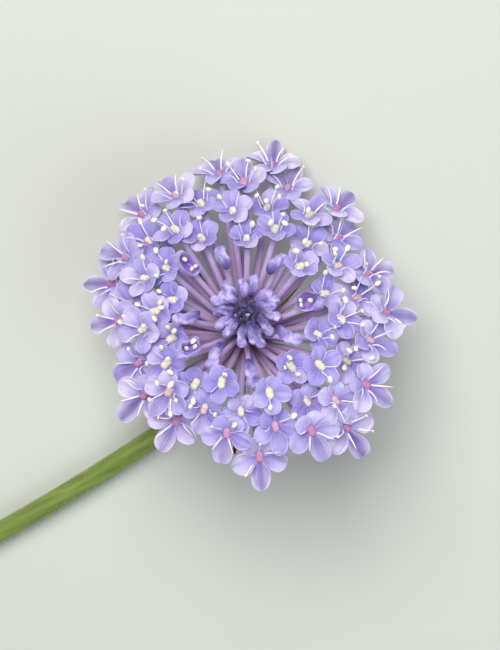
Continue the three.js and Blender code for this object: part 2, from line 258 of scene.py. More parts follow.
def edit_mode():
    """Enters edit mode on the active piece."""
    bpy.ops.object.mode_set(mode="EDIT")


def start_fresh():
    """Deselects everything, so that an operator acts on new work alone."""
    if bpy.context.mode != "OBJECT":
        object_mode()
    bpy.ops.object.select_all(action="DESELECT")


def take_up(piece):
    """Makes one piece the only selected and active one."""
    start_fresh()
    piece.select_set(True)
    bpy.context.view_layer.objects.active = piece


def pick(where):
    """Selects the points whose x, y and z answer to where."""
    bpy.ops.mesh.select_mode(type="VERT")
    mesh = bmesh.from_edit_mesh(bpy.context.edit_object.data)
    for point in mesh.verts:
        point.select = bool(where(*point.co))
    mesh.select_flush_mode()
    bmesh.update_edit_mesh(bpy.context.edit_object.data)


def pick_all():
    """Selects every point."""
    bpy.ops.mesh.select_all(action="SELECT")


def move(x, y, z):
    """Moves what is selected."""
    bpy.ops.transform.translate(value=(x, y, z))


def stretch(x, y, z, about=(0, 0, 0)):
    """Stretches what is selected about a point."""
    bpy.ops.transform.resize(value=(x, y, z), center_override=about)


print("points within", NEAR, "of a line count as on it")

# %% [markdown]
# ## Petals
#
# A petal is a thin blade: narrow where it leaves the floret, broad and rounded past its middle,
# cupped, with a paler rim. It could be cut from a thick solid, but a thin sheet shows the light
# and its edge better. A flat grid is first made a little uneven by a seeded draw, then its
# columns are raised towards the sides, every other one as a shallow pleat, and its rows are
# moved, widened and raised one by one. The rows crowd towards the tip, where the outline turns
# round. Each of the eight versions has a bend of its own, from domed to cupped. The sheet gets
# its thickness only after all 290 copies are joined, so that each copy stays light.

# %% Model the petal
PETAL_COLUMNS = 8
# Each row across the petal has a place along it, a width and a rise.
PETAL_ROWS = [
    (0.00, 0.11, 0.00), (0.11, 0.14, 0.02), (0.23, 0.34, 0.03), (0.36, 0.71, 0.045),
    (0.49, 0.94, 0.07), (0.62, 1.00, 0.095), (0.75, 0.94, 0.11), (0.86, 0.79, 0.115),
    (0.94, 0.58, 0.11), (0.985, 0.34, 0.10), (1.005, 0.11, 0.095),
]
RIM_LIFT = (-0.1, 0.2)
TIP_BEND = 0.12
PLEAT = 0.024
MIDRIB_DROP = 0.06
PETAL_VERSIONS = 8
PETAL_UNEVENNESS = 0.26


def add_sheet(columns, rows):
    """A flat grid one wide and one long, along +Y from the origin, selected in edit mode."""
    start_fresh()
    bpy.ops.mesh.primitive_grid_add(x_subdivisions=columns, y_subdivisions=rows, size=1)
    edit_mode()
    pick_all()
    move(0, 0.5, 0)
    return bpy.context.object


def model_petal(seed):
    """A petal one wide and one long, from its root at the origin to its tip along +Y."""
    rows = len(PETAL_ROWS) - 1
    petal = add_sheet(PETAL_COLUMNS, rows)
    bpy.ops.transform.vertex_random(offset=PETAL_UNEVENNESS, normal=1, seed=seed)
    bpy.ops.mesh.vertices_smooth(factor=0.5, repeat=4, xaxis=False, yaxis=False)
    cup = draw_within(RIM_LIFT, seed, 150)
    bend = TIP_BEND * sway(seed, 151)
    for column in range(PETAL_COLUMNS // 2 + 1):
        pick(lambda x, y, z: abs(abs(x) * PETAL_COLUMNS - column) < NEAR)
        lift = cup * (2 * column / PETAL_COLUMNS) ** 2 + PLEAT * (-1) ** column
        move(0, 0, lift if column else -MIDRIB_DROP)
    for row in reversed(range(rows + 1)):
        place, width, rise = PETAL_ROWS[row]
        pick(lambda x, y, z: abs(y * rows - row) < NEAR)
        stretch(width, 1, width)
        move(0, place - row / rows, rise + bend * place**3)
    object_mode()
    return petal


petals = [model_petal(seed) for seed in range(1, PETAL_VERSIONS + 1)]
print("petal faces:", len(petals[0].data.polygons), "versions:", len(petals))

# %% [markdown]
# ## Small helpers for finishes
#
# A finish here is a Principled shader whose colour comes from a few nodes. They read numbers that
# the modelling wrote on the points, such as how young a floret is, or the piece's own place or
# map. Colours are written as swatches, from 0 to 255, and the helpers turn them into paint.

# %% Helpers for materials
def add_node(tree, kind, inputs=(), **settings):
    """Adds a node, with its settings and with numbers or links for its inputs."""
    node = tree.nodes.new(kind)
    for key, value in settings.items():
        setattr(node, key, value)
    for key, value in dict(inputs).items():
        if isinstance(value, bpy.types.NodeSocket):
            tree.links.new(value, node.inputs[key])
        else:
            node.inputs[key].default_value = value
    return node


def new_finish(name, **numbers):
    """A material with one Principled shader, set to plain numbers, and its tree of nodes."""
    material = bpy.data.materials.new(name)
    material.use_nodes = True
    shader = material.node_tree.nodes["Principled BSDF"]
    for key, value in numbers.items():
        shader.inputs[key.replace("_", " ").title()].default_value = value
    return material, material.node_tree


def carried(tree, name):
    """A number that the points carry."""
    return add_node(tree, "ShaderNodeAttribute", attribute_name=name).outputs["Fac"]


def own_place(tree):
    """A point's place in the piece's own space."""
    return add_node(tree, "ShaderNodeTexCoord").outputs["Object"]


def on_sheet(tree):
    """A point's place on the map of its sheet, and how far across and along it lies."""
    flat = add_node(tree, "ShaderNodeUVMap", uv_map="UVMap").outputs["UV"]
    parts = add_node(tree, "ShaderNodeSeparateXYZ", {"Vector": flat})
    return flat, parts.outputs["X"], parts.outputs["Y"]


def speckle(tree, scale, detail=3, place=None):
    """Soft noise in patches of about 1 / scale metres."""
    inputs = {"Vector": place or own_place(tree), "Scale": scale, "Detail": detail}
    return add_node(tree, "ShaderNodeTexNoise", inputs).outputs["Fac"]


def ramp(tree, factor, stops):
    """Colours along a number: stops hold a swatch for each place."""
    node = add_node(tree, "ShaderNodeValToRGB", {"Fac": factor})
    elements = node.color_ramp.elements
    while len(elements) < len(stops):
        elements.new(0.5)
    for element, (position, swatch) in zip(elements, stops.items()):
        element.position = position
        element.color = paint(*swatch)
    return node.outputs["Color"]


def math_of(tree, operation, *values):
    """One sum on numbers or sockets."""
    return add_node(tree, "ShaderNodeMath", dict(enumerate(values)), operation=operation).outputs[0]


def mix(tree, share, first, second):
    """The first colour with a share of the second, each a socket or a swatch."""
    node = add_node(tree, "ShaderNodeMix", data_type="RGBA")
    for key, value in (("Factor", share), ("A", first), ("B", second)):
        socket = next(s for s in node.inputs if s.name == key and s.enabled)
        if isinstance(value, bpy.types.NodeSocket):
            tree.links.new(value, socket)
        else:
            socket.default_value = paint(*value)
    return next(s for s in node.outputs if s.enabled)


def span(tree, value, low, high, start=0.0, end=1.0):
    """A number carried from one span to another, held at its ends."""
    inputs = {"Value": value, "From Min": low, "From Max": high, "To Min": start, "To Max": end}
    return add_node(tree, "ShaderNodeMapRange", inputs).outputs["Result"]


def coat(material, colour, relief=None, strength=0.0, depth=0.0):
    """Gives a finish its colour, and relief too fine to model, up to a depth in mm."""
    tree = material.node_tree
    shader = tree.nodes["Principled BSDF"]
    tree.links.new(colour, shader.inputs["Base Color"])
    if relief:
        inputs = {"Height": relief, "Strength": strength, "Distance": depth * MM}
        bump = add_node(tree, "ShaderNodeBump", inputs)
        tree.links.new(bump.outputs["Normal"], shader.inputs["Normal"])
    return material


print("middle grey as paint:", round(paint(128)[0], 3))

# %% [markdown]
# ## The petals' finish
#
# Petals let light through, so their shader is a mix: most of it a soft matt surface, the rest a
# Translucent shader that glows with the light from behind. The rim florets have faded to a
# greyish pale lilac and the younger ones are a clearer violet blue. Fine veins fan out from the
# root, and the map that came with the grid already fans out with the rows, so the veins are
# plain stripes on it.

# %% Make the petals' finish
PETAL_BY_AGE = {0.0: (238, 233, 251), 0.35: (214, 206, 249), 1.0: (190, 178, 242)}
PETAL_PATCH = (228, 222, 252)
PETAL_DEEP = (152, 138, 226)
PETAL_PALE = (246, 238, 255)
PETAL_MIDDLE_SHADE = (130, 104, 176)
PETAL_ROOT_SHADE = (134, 112, 206)
PETAL_RIM = (240, 237, 252)
VEIN_COLOUR = (158, 144, 220)
# Each share has a low and a high number and how much of a colour shows at each of them.
PATCH_SHARE = (0.35, 0.7, 0.0, 0.4)
YOUNG_SHARE = (0.0, 0.5, 0.4, 1.0)
DEEP_SHARE = (0.3, 1.0, 0.0, 0.6)
PALE_SHARE = (0.0, 0.35, 0.6, 0.0)
MIDDLE_SHARE = (0.075, 0.425, 0.85, 0.15)
SHOWN_SHARE = (0.0, 1.0, 0.3, 1.0)
ROOT_SHADE_SHARE = (0.1, 0.55, 0.85, 0.0)
VEIN_SHARE = (0.55, 1.0, 0.0, 0.12)
SIDE_RIM = (0.41, 0.5)
TIP_RIM = (0.95, 1.0)
RIM_STRENGTH = 0.36
# Each relief has a strength and a depth in mm.
VEIN_RELIEF = (0.25, 0.12)
GLOW = 0.35


def petal_finish():
    """Lilac petal: colour by age, painted shade at the root and on outward rim petals, pale rim,
    veins, and light from behind.
    """
    material, tree = new_finish("petal_lilac", roughness=0.55, sheen_weight=0.25)
    flat, across, along = on_sheet(tree)
    off_middle = math_of(tree, "ABSOLUTE", math_of(tree, "SUBTRACT", across, 0.5))
    youth = carried(tree, "youth")
    tone = carried(tree, "tone")

    patches = span(tree, speckle(tree, 500), *PATCH_SHARE)
    patched = mix(tree, patches, ramp(tree, youth, PETAL_BY_AGE), PETAL_PATCH)
    young = span(tree, youth, *YOUNG_SHARE)
    shade = math_of(tree, "MULTIPLY", span(tree, tone, *DEEP_SHARE), young)
    darker = mix(tree, shade, patched, PETAL_DEEP)
    paler = mix(tree, span(tree, tone, *PALE_SHARE), darker, PETAL_PALE)
    # Painted shade down the middle of the outward petals of the outer florets, which lean down from
    # the light.
    near_middle = span(tree, off_middle, *MIDDLE_SHARE)
    middle = math_of(tree, "MULTIPLY", near_middle, carried(tree, "shaded"))
    middle_shaded = mix(tree, middle, paler, PETAL_MIDDLE_SHADE)
    shown = span(tree, carried(tree, "shown"), *SHOWN_SHARE)
    # Painted shade: the shown face of each petal darkens towards its root, where the petals crowd
    # together.
    near_root = span(tree, along, *ROOT_SHADE_SHARE)
    root_shaded = mix(tree, math_of(tree, "MULTIPLY", near_root, shown), middle_shaded, PETAL_ROOT_SHADE)

    waves = {"Vector": flat, "Scale": 2.6, "Distortion": 2.2, "Detail": 2.0, "Detail Scale": 1.4}
    stripes = add_node(tree, "ShaderNodeTexWave", waves, bands_direction="X").outputs["Fac"]
    veined = mix(tree, span(tree, stripes, *VEIN_SHARE), root_shaded, VEIN_COLOUR)
    side_rim = span(tree, off_middle, *SIDE_RIM)
    rim = math_of(tree, "MAXIMUM", side_rim, span(tree, along, *TIP_RIM))
    colour = mix(tree, math_of(tree, "MULTIPLY", rim, RIM_STRENGTH), veined, PETAL_RIM)

    coat(material, colour, stripes, *VEIN_RELIEF)
    matt = tree.nodes["Principled BSDF"]
    glow = add_node(tree, "ShaderNodeBsdfTranslucent", {"Color": colour})
    layers = {0: GLOW, 1: matt.outputs["BSDF"], 2: glow.outputs["BSDF"]}
    both = add_node(tree, "ShaderNodeMixShader", layers)
    tree.links.new(both.outputs["Shader"], tree.nodes["Material Output"].inputs["Surface"])
    return material


petal_lilac = petal_finish()
print("nodes in the petals' finish:", len(petal_lilac.node_tree.nodes))

# %% [markdown]
# ## From models to pieces
#
# What repeats is modelled once in millimetres at the origin. Its copies then get meshes of their
# own, are carried to their places by a matrix, and are joined into one piece, which gets its
# finish, rides on the flower's only body and says which solid it stands for.

# %% Helpers for placing
SMOOTH_BELOW = math.radians(50)


def note(piece, name, numbers):
    """Writes a number on every point of a piece, for the colours to read."""
    layer = piece.data.attributes.new(name, "FLOAT", "POINT")
    layer.data.foreach_set("value", [float(number) for number in numbers])


def put(at, turning, size=(1, 1, 1), space=head_place):
    """The matrix that sizes a model, turns it and sets it down in the head or another space."""
    return space @ Matrix.Translation(at) @ turning.to_4x4() @ Matrix.Diagonal((*size, 1))


def set_out(name, placed):
    """Copies models to their places, each copy with a mesh of its own, and joins the copies.

    placed holds a model, a matrix and the numbers that the copy's points carry, for each copy."""
    copies = []
    for model, matrix, numbers in placed:
        copy = model.copy()
        copy.data = model.data.copy()
        bpy.context.collection.objects.link(copy)
        copy.data.transform(matrix)
        for key, value in numbers.items():
            note(copy, key, [value] * len(copy.data.vertices))
        copies.append(copy)
    take_up(copies[0])
    for copy in copies:
        copy.select_set(True)
    bpy.ops.object.join()
    piece = bpy.context.object
    piece.name = name
    return piece


def modify(piece, kind, **settings):
    """Gives the active piece a modifier and applies it."""
    bpy.ops.object.modifier_add(type=kind)
    modifier = piece.modifiers[-1]
    for key, value in settings.items():
        setattr(modifier, key, value)
    bpy.ops.object.modifier_apply(modifier=modifier.name)


def hand_over(piece, node):
    """Shades a piece smooth and says which solid it stands for."""
    take_up(piece)
    bpy.ops.object.shade_smooth_by_angle(angle=SMOOTH_BELOW)
    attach(piece, "root")
    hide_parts(node)
    triangles = sum(len(face.vertices) - 2 for face in piece.data.polygons)
    print(piece.name, "for", node, "with", triangles, "triangles")


def finish_piece(piece, material, node):
    """Gives a piece its material and hands it over."""
    piece.data.materials.clear()
    piece.data.materials.append(material)
    hand_over(piece, node)


print("edges under", round(math.degrees(SMOOTH_BELOW)), "degrees are shaded smooth")

# %% [markdown]
# ## The corollas
#
# Each floret spreads five petals, and in the outer florets the outward one is longer. Their
# angles, lengths and widths follow the solids' rule. In a real corolla the petals lie over one
# another like shingles, so every petal is rolled a little about its own length, and each is
# lifted or lowered by a seeded draw.

# %% Lay out the petals
PETALS = 5
SECTOR = FULL_TURN / PETALS
PETAL_LENGTH = 2.25
RIM_PETAL_GAIN = 1.6
OUTWARD_PETAL_GAIN = 0.26
PETAL_WIDTH = 1.85
WIDTH_PER_LENGTH = 0.29
PETAL_SWAY = 0.06
PETAL_FULLNESS = 1.1
LENGTH_FULLNESS = 1.05
OUTWARD_SLIMNESS = 0.2
YOUNG_SLIMNESS = 0.1
PETAL_THICKNESS = 0.13
SHINGLE_ROLL = math.radians(7)
ROLL_SWAY = 0.5
LIFT_SWAY = math.radians(8)
YOUNG_CUP = math.radians(14)
STILL_CUPPED = 0.7
SHADE_FADES = 1.6
TABLE_CLEARANCE = 0.2


def petal_of(floret, k):
    """One petal's angle from the floret's outward side, with its length and width."""
    petal_number = k % PETALS
    angle = k * SECTOR + PETAL_SWAY * sway(floret.number, 10 + petal_number)
    gain = 1 + OUTWARD_PETAL_GAIN * floret.share * math.cos(angle)
    length = (PETAL_LENGTH + RIM_PETAL_GAIN * floret.share**2) * gain
    length *= 1 + PETAL_SWAY * sway(floret.number, 20 + petal_number)
    return angle, length, PETAL_WIDTH + WIDTH_PER_LENGTH * length


def laid_petal(floret, k):
    """The model, place and numbers of one petal of an open floret."""
    angle, length, width = petal_of(floret, k)
    lift = LIFT_SWAY * sway(floret.number, 40 + k)
    lift += YOUNG_CUP * max(0, floret.youth - STILL_CUPPED) / (1 - STILL_CUPPED)
    roll = SHINGLE_ROLL * (1 + ROLL_SWAY * sway(floret.number, 50 + k))
    along = floret.along(angle)
    facing = Matrix((along.cross(floret.normal), along, floret.normal)).transposed()
    turning = facing @ Matrix.Rotation(lift, 3, "X") @ Matrix.Rotation(roll, 3, "Y")
    outwardness = max(0, math.cos(angle))
    slimness = OUTWARD_SLIMNESS * floret.share * outwardness + YOUNG_SLIMNESS * floret.youth
    size = (width * (PETAL_FULLNESS - slimness), length * LENGTH_FULLNESS, length)
    version = petals[int(draw(floret.number, 80 + k) * PETAL_VERSIONS)]
    numbers = {
        "youth": floret.youth,
        "tone": draw(floret.number, 90 + k),
        # How much painted shade the middle of this petal gets: most on outward petals of old florets.
        "shaded": outwardness * max(0, 1 - SHADE_FADES * floret.youth),
    }
    return version, put(floret.centre, turning, size), numbers


def settle_on_table(piece):
    """What would hang through the table lies on it instead."""
    take_up(piece)
    edit_mode()
    level = TABLE_CLEARANCE * MM
    pick(lambda x, y, z: z < level)
    stretch(1, 1, 0, about=(0, 0, level))
    object_mode()


def thicken(piece, thickness):
    """Gives a sheet its thickness, downwards from the face that shows, and notes that face."""
    shown = len(piece.data.vertices)
    take_up(piece)
    modify(piece, "SOLIDIFY", thickness=thickness * MM, offset=-1)
    note(piece, "shown", [n < shown for n in range(len(piece.data.vertices))])


laid = [laid_petal(floret, k) for floret in open_florets for k in range(PETALS)]
corollas = set_out("petals", laid)
settle_on_table(corollas)
thicken(corollas, PETAL_THICKNESS)
finish_piece(corollas, petal_lilac, "open_florets")

# %% [markdown]
# ## Discs
#
# In the middle of a floret sits a small nectar disc of two swollen lobes, one behind the other
# along the floret's outward direction. It starts a creamy yellow, turns salmon pink and ends a
# deep pink, so the colour follows the floret's age. A ball with a cleft pressed across it has
# the right form: its middle points are drawn in and down.

# %% Model and place the discs
DISC_SIZE = (1.28, 2.0, 0.9)
DISC_SWAY = 0.12
DISC_SEAT = 0.05
CLEFT_WIDTH = 0.92
CLEFT_HEIGHT = 0.72
CLEFT_FLOOR = -0.3
LOBE_START = 0.1
LOBE_FLOOR = 0.2
LOBE_DROP = 0.06
DISC_AGE_SPREAD = 0.25
DISC_BY_AGE = {
    0.12: (178, 116, 166), 0.42: (196, 140, 178), 0.54: (212, 174, 188),
    0.68: (224, 210, 192), 0.82: (226, 222, 196),
}
DISC_LOW_SHADE = (160, 110, 140)
LOW_SHADE_SHARE = (0.5, 0.95, 0.45, 0.0)
DISC_RELIEF = (0.9, 0.25)


def note_height(piece):
    """Notes how far up the form each point lies, from 0 to 1."""
    heights = [point.co.z for point in piece.data.vertices]
    low, high = min(heights), max(heights)
    note(piece, "along", [(height - low) / (high - low) for height in heights])


def add_ball(segments, rings):
    """A ball one across at the origin, in edit mode."""
    start_fresh()
    bpy.ops.mesh.primitive_uv_sphere_add(segments=segments, ring_count=rings, radius=0.5)
    edit_mode()
    return bpy.context.object


def model_disc():
    """A two-lobed disc, one across, with its lobes along Y."""
    disc = add_ball(12, 8)
    pick(lambda x, y, z: abs(y) < NEAR and z > CLEFT_FLOOR)
    stretch(CLEFT_WIDTH, 1, CLEFT_HEIGHT)
    pick(lambda x, y, z: abs(x) < NEAR and abs(y) > LOBE_START and z > LOBE_FLOOR)
    move(0, 0, -LOBE_DROP)
    object_mode()
    note_height(disc)
    return disc


def disc_finish():
    """Waxy disc: yellow when young, then salmon, then deep pink, with painted shade on its lower half.
    """
    material, tree = new_finish("disc_wax", roughness=0.6)
    head_start = math_of(tree, "MULTIPLY", carried(tree, "tone"), DISC_AGE_SPREAD)
    age = math_of(tree, "ADD", carried(tree, "youth"), head_start)
    # Painted shade: the lower half of the disc, where it sits down among the petals, is darkened,
    # fading out towards its top.
    cleft = span(tree, carried(tree, "along"), *LOW_SHADE_SHARE)
    colour = mix(tree, cleft, ramp(tree, age, DISC_BY_AGE), DISC_LOW_SHADE)
    return coat(material, colour, speckle(tree, 3000), *DISC_RELIEF)


def axes(z_axis, towards):
    """A turning that sends Z along one direction, and Y as near as it can to another."""
    z = z_axis.normalized()
    x = towards.cross(z).normalized()
    return Matrix((x, z.cross(x), z)).transposed()


def put_away(*models):
    """Removes the models once their copies are made."""
    for model in models:
        bpy.data.objects.remove(model)


disc = model_disc()
placed = []
for floret in open_florets:
    size = [side * (1 + DISC_SWAY * sway(floret.number, 96)) for side in DISC_SIZE]
    seat = floret.centre + floret.normal * DISC_SEAT
    numbers = {"youth": floret.youth, "tone": draw(floret.number, 95)}
    placed.append((disc, put(seat, axes(floret.normal, floret.outward), size), numbers))
finish_piece(set_out("discs", placed), disc_finish(), "open_florets")
put_away(disc)

# %% [markdown]
# ## Stamens
#
# Five stamens stand between the petals. Their filaments are white and tapered, and bow outwards.
# Young florets still carry a cream anther on most of them, and the old ones at the rim have shed
# nearly all. A filament is one circle drawn out in five steps, as a potter pulls up a wall, with
# six sides to stay light. An anther is a ball with a groove pressed along it.

# %% Model the filaments and anthers
# Each ring has a height, a radius and a shift to the side.
FILAMENT_ROWS = [
    (0.0, 0.17, 0.0), (0.2, 0.15, 0.14), (0.45, 0.12, 0.22),
    (0.7, 0.09, 0.2), (0.9, 0.06, 0.09), (1.0, 0.03, 0.0),
]
FILAMENT_BOWS = (0.3, 1.2, 2.4)
GROOVE_END = 0.45
GROOVE_DEPTH = 0.66


def draw_out(name, rows, sides):
    """A closed round form: rows hold each ring's height, radius and shift along Y, if any."""
    start_fresh()
    (height, radius, shift), *later_rows = [(*row, 0)[:3] for row in rows]
    bpy.ops.mesh.primitive_circle_add(vertices=sides, radius=radius, fill_type="NGON")
    piece = bpy.context.object
    piece.name = name
    edit_mode()
    move(0, shift, height)
    for next_height, next_radius, next_shift in later_rows:
        step = (0, next_shift - shift, next_height - height)
        bpy.ops.mesh.extrude_region_move(TRANSFORM_OT_translate={"value": step})
        growth = next_radius / radius
        stretch(growth, growth, 1, about=(0, next_shift, next_height))
        height, radius, shift = next_height, next_radius, next_shift
    pick_all()
    bpy.ops.mesh.normals_make_consistent(inside=False)
    object_mode()
    note_height(piece)
    return piece


def model_anther():
    """A pollen sac one long, grooved along one side."""
    anther = add_ball(10, 6)
    pick(lambda x, y, z: abs(x) < NEAR and abs(z) < GROOVE_END)
    stretch(1, GROOVE_DEPTH, 1)
    object_mode()
    return anther


filaments_by_bow = [
    draw_out("filament", [(height, radius, shift * bow) for height, radius, shift in FILAMENT_ROWS], 6)
    for bow in FILAMENT_BOWS
]
anther = model_anther()
print("faces of a filament:", len(filaments_by_bow[0].data.polygons))
print("faces of an anther:", len(anther.data.polygons))

# %% Place the filaments and anthers
FILAMENT_LENGTH = 4.0
FILAMENT_CLIMB = math.radians(62)
FILAMENT_LEAN = math.radians(24)
OUTWARD_LEAN = 0.5
CLIMB_SWAY = math.radians(10)
ANGLE_BETWEEN_SWAY = math.radians(14)
YOUNG_FILAMENT = 0.72
YOUNG_THINNESS = 0.4
FILAMENT_SWAY = 0.12
FILAMENT_ROOT = 0.95
ANTHER_SIZE = (0.86, 0.74, 1.22)
OLD_BELOW = 0.36
# For old and for young florets: the share of filaments that is gone, the share of anthers that
# is gone, and the least and the most fullness of the anthers that are left.
OLD_STAMENS = (0.2, 0.75, (0.55, 0.55))
YOUNG_STAMENS = (0.3, 0.55, (0.8, 1.05))
FILAMENT_WHITES = {0.0: (226, 216, 244), 0.4: (244, 241, 250)}
ANTHER_CREAMS = {0.3: (222, 214, 192), 0.7: (244, 240, 226)}
ANTHER_RELIEF = (0.4, 0.06)


def lengthwise_finish(name, stops, roughness):
    """A finish with its colours along the piece."""
    material, tree = new_finish(name, roughness=roughness)
    return coat(material, ramp(tree, carried(tree, "along"), stops))


def anther_finish():
    """Cream pollen sacs with a mealy surface."""
    material, tree = new_finish("anther_cream", roughness=0.75)
    grain = speckle(tree, 5000, 4)
    return coat(material, ramp(tree, grain, ANTHER_CREAMS), grain, *ANTHER_RELIEF)


def stamen_of(floret, k):
    """The root and the tip of the filament between petals k and k + 1."""
    between = (petal_of(floret, k)[0] + petal_of(floret, k + 1)[0]) / 2
    between += ANGLE_BETWEEN_SWAY * sway(floret.number, 65 + k)
    lean = FILAMENT_LEAN * floret.share**2 * (1 + OUTWARD_LEAN * math.cos(between))
    climb = FILAMENT_CLIMB - lean + CLIMB_SWAY * sway(floret.number, 70 + k)
    reach = FILAMENT_LENGTH * (1 + FILAMENT_SWAY * sway(floret.number, 60 + k))
    reach *= 1 - (1 - YOUNG_FILAMENT) * floret.youth
    along = floret.along(between)
    root = floret.centre + along * FILAMENT_ROOT
    tip = floret.centre + along * reach * math.cos(climb) + floret.normal * reach * math.sin(climb)
    return root, tip


threads = []
sacs = []
for floret in open_florets:
    stamens = OLD_STAMENS if floret.youth < OLD_BELOW else YOUNG_STAMENS
    filaments_gone, anthers_gone, fullness_limits = stamens
    for k in range(PETALS):
        root, tip = stamen_of(floret, k)
        chance = draw(floret.number, 100 + k)
        if chance < filaments_gone:
            continue
        rise = tip - root
        turning = axes(rise, floret.normal)
        width = 1 - YOUNG_THINNESS * floret.youth
        bowed = filaments_by_bow[int(draw(floret.number, 115 + k) * len(FILAMENT_BOWS))]
        threads.append((bowed, put(root, turning, (width, width, rise.length)), {}))
        if chance < anthers_gone:
            continue
        fullness = draw_within(fullness_limits, floret.number, 105 + k)
        lay = Matrix.Rotation(math.pi * draw(floret.number, 110 + k), 3, "X")
        size = [side * fullness for side in ANTHER_SIZE]
        sacs.append((anther, put(tip, turning @ lay, size), {}))

filament_white = lengthwise_finish("filament_white", FILAMENT_WHITES, 0.45)
finish_piece(set_out("filaments", threads), filament_white, "open_florets")
anther_cream = anther_finish()
finish_piece(set_out("anthers", sacs), anther_cream, "open_florets")
print("anthers left:", len(sacs))

# %% [markdown]
# ## Rays, ovaries and receptacle
#
# Every floret stands on a ray, a smooth mauve stalk that is green where it starts, and under its
# petals the ray swells into a small ovary. All rays leave the receptacle, a low dark red cushion
# on top of the stem. A ray is drawn out of a circle once and each copy is stretched to its
# length. The ovaries are copied apart from the rays, so that the stretching leaves them alone.

# %% Model and place the rays, ovaries and receptacle
RAY_ROOT = 2.4
OVARY_LENGTH = 1.9
OVARY_FLATNESS = 0.85
RAY_ROWS = [(0.0, 0.34), (0.12, 0.42), (0.4, 0.5), (0.7, 0.52), (0.93, 0.54), (1.0, 0.62)]
OVARY_ROWS = [(-0.15, 0.5), (0.25, 0.8), (0.8, 0.98), (1.3, 0.84), (1.65, 0.6), (1.95, 0.66)]
CUSHION_ROWS = [
    (-0.9, 2.6), (-0.5, 3.1), (0.1, 3.3), (0.8, 3.2), (1.5, 2.8), (2.1, 2.0), (2.3, 0.6),
]
MAUVE = {0.0: (142, 126, 116), 0.2: (178, 152, 186), 0.6: (200, 176, 218), 1.0: (212, 196, 236)}
GREEN_TO_MAUVE = {0.0: (152, 162, 98), 0.5: (168, 148, 158), 1.0: (176, 152, 206)}
DARK_RED = {0.0: (96, 74, 48), 0.5: (104, 44, 44), 1.0: (92, 30, 44)}
STREAK_MAUVE = (188, 160, 196)
STREAK_SHARE = (0.35, 0.7, 0.0, 0.4)
GLOW_DEPTH = 0.5


def ray_finish(name, stops):
    """Stalk with colours along it and faint mauve streaks."""
    numbers = {"roughness": 0.42, "subsurface_weight": 0.15, "subsurface_scale": GLOW_DEPTH * MM}
    material, tree = new_finish(name, **numbers)
    streaks = span(tree, speckle(tree, 700, 4), *STREAK_SHARE)
    return coat(material, mix(tree, streaks, ramp(tree, carried(tree, "along"), stops), STREAK_MAUVE))


ray = draw_out("ray", RAY_ROWS, 10)
ovary = draw_out("ovary", OVARY_ROWS, 10)
stalks = []
swellings = []
for floret in open_florets:
    foot = floret.centre - floret.normal * OVARY_LENGTH
    root = foot.normalized() * RAY_ROOT
    stalks.append((ray, put(root, axes(foot, floret.outward), (1, 1, (foot - root).length)), {}))
    turning = axes(floret.normal, floret.outward)
    swellings.append((ovary, put(foot, turning, (OVARY_FLATNESS, 1, 1)), {}))

ray_mauve = ray_finish("ray_mauve", MAUVE)
finish_piece(set_out("rays", stalks), ray_mauve, "open_florets")
ovary_green = ray_finish("ovary_green", GREEN_TO_MAUVE)
finish_piece(set_out("ovaries", swellings), ovary_green, "open_florets")
cushion = draw_out("cushion", CUSHION_ROWS, 24)
receptacle = set_out("receptacle", [(cushion, head_place, {})])
finish_piece(receptacle, ray_finish("receptacle_red", DARK_RED), "open_florets")
put_away(ovary, cushion)

# %% [markdown]
# ## Buds
#
# A closed bud is a fat little pouch: five petals folded inwards like crumpled cloth, with a
# crease between each two, rounded at the foot and narrow and dark at the tip. The knot in the
# middle of the head points its tips inwards, and the youngest, in its heart, are tiny and almost
# indigo. A circle of ten points is drawn out to the pouch and every other meridian is pressed in
# above the foot as a crease, whose edges are marked to stay sharp. Each version is then crumpled
# by a seeded draw three times: while it has few points, and after each of two rounds of
# subdivision, which turn the coarse dents into soft folds with small ones on them. It is modelled
# in millimetres at the size of a bud of the knot, so that the dents are as deep along it as across.

# %% Model the bud
BUD_SIDES = 10
BUD_RADIUS = 1.12
BUD_LENGTH = 3.6
BUD_ROWS = [
    (-0.25, 0.36), (-0.08, 0.72), (0.22, 0.98), (0.70, 1.14), (1.30, 1.18),
    (1.90, 1.12), (2.45, 1.00), (2.95, 0.82), (3.36, 0.58), (3.62, 0.28),
]
CREASED_ABOVE = 0.3
CREASE_DEPTH = 0.44
CREASE_EDGE = 0.8
CRUMPLE = 0.22
FOLD = 0.1
WRINKLE = 0.035
BUD_VERSIONS = 6
SLANT = Vector((0.13, 0.29, 1))


def note_ridges(piece):
    """Notes whether each point lies in a crease, 0, or on the back of a folded petal, 1."""
    turns = [math.atan2(point.co.y, point.co.x) for point in piece.data.vertices]
    note(piece, "ridge", [(1 - math.cos(PETALS * turn)) / 2 for turn in turns])


def in_fold(x, y):
    """Whether a point lies on the meridian where two folded petals meet."""
    return (math.atan2(y, x) + SECTOR / 4) % SECTOR < SECTOR / 2


def press_creases(depth):
    """In edit mode, draws the meridians between the petals in."""
    pick(lambda x, y, z: z > CREASED_ABOVE and in_fold(x, y))
    stretch(depth, depth, 1)


def number_by_place(piece):
    """In edit mode, numbers the points by their place, because a seeded shake goes by the numbers."""
    mesh = bmesh.from_edit_mesh(piece.data)
    mesh.verts.sort(key=lambda point: point.co.dot(SLANT))
    bmesh.update_edit_mesh(piece.data)


def crumple_and_smooth(bud, depths, seed):
    """In edit mode, crumples a bud once for each depth and subdivides it in between."""
    for round_number, depth in enumerate(depths):
        if round_number:
            object_mode()
            modify(bud, "SUBSURF", levels=1, render_levels=1)
            edit_mode()
        number_by_place(bud)
        pick_all()
        bpy.ops.transform.vertex_random(offset=depth, normal=0.8, seed=seed)
    object_mode()


